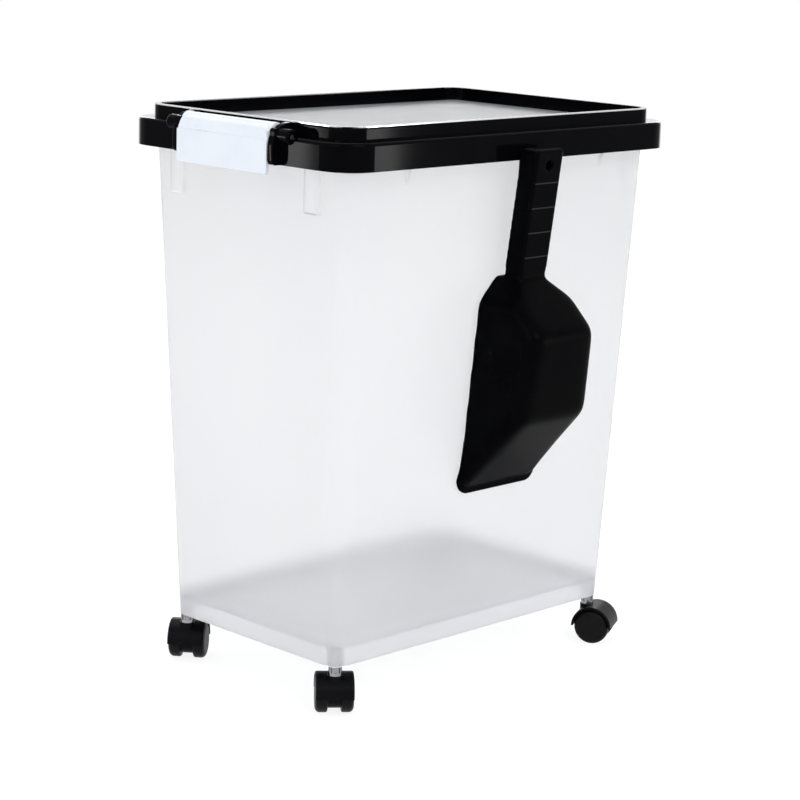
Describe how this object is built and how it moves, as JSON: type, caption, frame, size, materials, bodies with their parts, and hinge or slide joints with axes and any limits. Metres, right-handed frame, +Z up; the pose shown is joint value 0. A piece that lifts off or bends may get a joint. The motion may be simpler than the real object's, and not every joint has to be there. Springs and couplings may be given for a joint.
{
  "type": "pet food storage container",
  "caption": "Tall rolling pet food bin: drafted translucent tub on swivel casters, two-tier lid with sunken window and end latches, scoop hung on the front.",
  "frame": {"origin": "middle of the whole part's footprint, on the floor under the wheels", "axes": "+Z up; X along the tub's long side; -Y is the front, where the scoop hangs; the latches are at -X and +X"},
  "size_m": [0.4042, 0.3092, 0.47],
  "materials": {
    "tub_plastic": "frosted translucent moulded plastic",
    "lid_black": "glossy moulded plastic",
    "window_plastic": "translucent grey clear plastic",
    "gasket_rubber": "soft silicone",
    "scoop_black": "semi-matte moulded plastic",
    "latch_white": "satin moulded plastic",
    "pin_steel": "drawn steel",
    "socket_steel": "zinc plated",
    "stem_chrome": "bright plated",
    "caster_black": "moulded nylon",
    "wheel_black": "moulded nylon tread"
  },
  "bodies": {
    "tub": {"tub": "tub_plastic", "scoop_hanger": "tub_plastic", "caster_socket_front_left": "socket_steel", "caster_socket_front_right": "socket_steel", "caster_socket_back_left": "socket_steel", "caster_socket_back_right": "socket_steel"},
    "lid": {"lid_frame": "lid_black", "lid_window": "window_plastic", "lid_gasket": "gasket_rubber", "latch_pin_left": "pin_steel", "latch_pin_right": "pin_steel"},
    "latch_left": {"latch_left": "latch_white"},
    "latch_right": {"latch_right": "latch_white"},
    "scoop": {"scoop": "scoop_black"},
    "caster_front_left": {"caster_stem_front_left": "stem_chrome", "caster_hood_front_left": "caster_black", "caster_axle_front_left": "pin_steel"},
    "wheel_a_front_left": {"caster_wheel_a_front_left": "wheel_black"},
    "wheel_b_front_left": {"caster_wheel_b_front_left": "wheel_black"},
    "caster_front_right": {"caster_stem_front_right": "stem_chrome", "caster_hood_front_right": "caster_black", "caster_axle_front_right": "pin_steel"},
    "wheel_a_front_right": {"caster_wheel_a_front_right": "wheel_black"},
    "wheel_b_front_right": {"caster_wheel_b_front_right": "wheel_black"},
    "caster_back_left": {"caster_stem_back_left": "stem_chrome", "caster_hood_back_left": "caster_black", "caster_axle_back_left": "pin_steel"},
    "wheel_a_back_left": {"caster_wheel_a_back_left": "wheel_black"},
    "wheel_b_back_left": {"caster_wheel_b_back_left": "wheel_black"},
    "caster_back_right": {"caster_stem_back_right": "stem_chrome", "caster_hood_back_right": "caster_black", "caster_axle_back_right": "pin_steel"},
    "wheel_a_back_right": {"caster_wheel_a_back_right": "wheel_black"},
    "wheel_b_back_right": {"caster_wheel_b_back_right": "wheel_black"}
  },
  "joints": [
    {"name": "lid_lift", "type": "slide", "parent": "tub", "child": "lid", "axis": [0, 0, 1], "range_m": [0, 0.25]},
    {"name": "latch_left_hinge", "type": "hinge", "parent": "lid", "child": "latch_left", "pos_m": [-0.19205, 0.02392, 0.4595], "axis": [0, 1, 0], "range_deg": [0, 110]},
    {"name": "latch_right_hinge", "type": "hinge", "parent": "lid", "child": "latch_right", "pos_m": [0.19205, 0.02392, 0.4595], "axis": [0, -1, 0], "range_deg": [0, 110]},
    {"name": "scoop_lift_off", "type": "slide", "parent": "tub", "child": "scoop", "axis": [0, -0.9659, 0.2588], "range_m": [0, 0.15]},
    {"name": "swivel_front_left", "type": "hinge", "parent": "tub", "child": "caster_front_left", "pos_m": [-0.15316, -0.06709, 0.033], "axis": [0, 0, 1], "continuous": true},
    {"name": "roll_a_front_left", "type": "hinge", "parent": "caster_front_left", "child": "wheel_a_front_left", "pos_m": [-0.14834, -0.06134, 0.0152], "axis": [0.766, -0.6428, 0], "continuous": true},
    {"name": "roll_b_front_left", "type": "hinge", "parent": "caster_front_left", "child": "wheel_b_front_left", "pos_m": [-0.14834, -0.06134, 0.0152], "axis": [0.766, -0.6428, 0], "continuous": true},
    {"name": "swivel_front_right", "type": "hinge", "parent": "tub", "child": "caster_front_right", "pos_m": [0.15316, -0.06709, 0.033], "axis": [0, 0, 1], "continuous": true},
    {"name": "roll_a_front_right", "type": "hinge", "parent": "caster_front_right", "child": "wheel_a_front_right", "pos_m": [0.15657, -0.07377, 0.0152], "axis": [-0.891, -0.454, 0], "continuous": true},
    {"name": "roll_b_front_right", "type": "hinge", "parent": "caster_front_right", "child": "wheel_b_front_right", "pos_m": [0.15657, -0.07377, 0.0152], "axis": [-0.891, -0.454, 0], "continuous": true},
    {"name": "swivel_back_left", "type": "hinge", "parent": "tub", "child": "caster_back_left", "pos_m": [-0.15316, 0.11493, 0.033], "axis": [0, 0, 1], "continuous": true},
    {"name": "roll_a_back_left", "type": "hinge", "parent": "caster_back_left", "child": "wheel_a_back_left", "pos_m": [-0.14733, 0.11965, 0.0152], "axis": [0.6293, -0.7771, 0], "continuous": true},
    {"name": "roll_b_back_left", "type": "hinge", "parent": "caster_back_left", "child": "wheel_b_back_left", "pos_m": [-0.14733, 0.11965, 0.0152], "axis": [0.6293, -0.7771, 0], "continuous": true},
    {"name": "swivel_back_right", "type": "hinge", "parent": "tub", "child": "caster_back_right", "pos_m": [0.15316, 0.11493, 0.033], "axis": [0, 0, 1], "continuous": true},
    {"name": "roll_a_back_right", "type": "hinge", "parent": "caster_back_right", "child": "wheel_a_back_right", "pos_m": [0.15899, 0.11965, 0.0152], "axis": [0.6293, -0.7771, 0], "continuous": true},
    {"name": "roll_b_back_right", "type": "hinge", "parent": "caster_back_right", "child": "wheel_b_back_right", "pos_m": [0.15899, 0.11965, 0.0152], "axis": [0.6293, -0.7771, 0], "continuous": true}
  ]
}
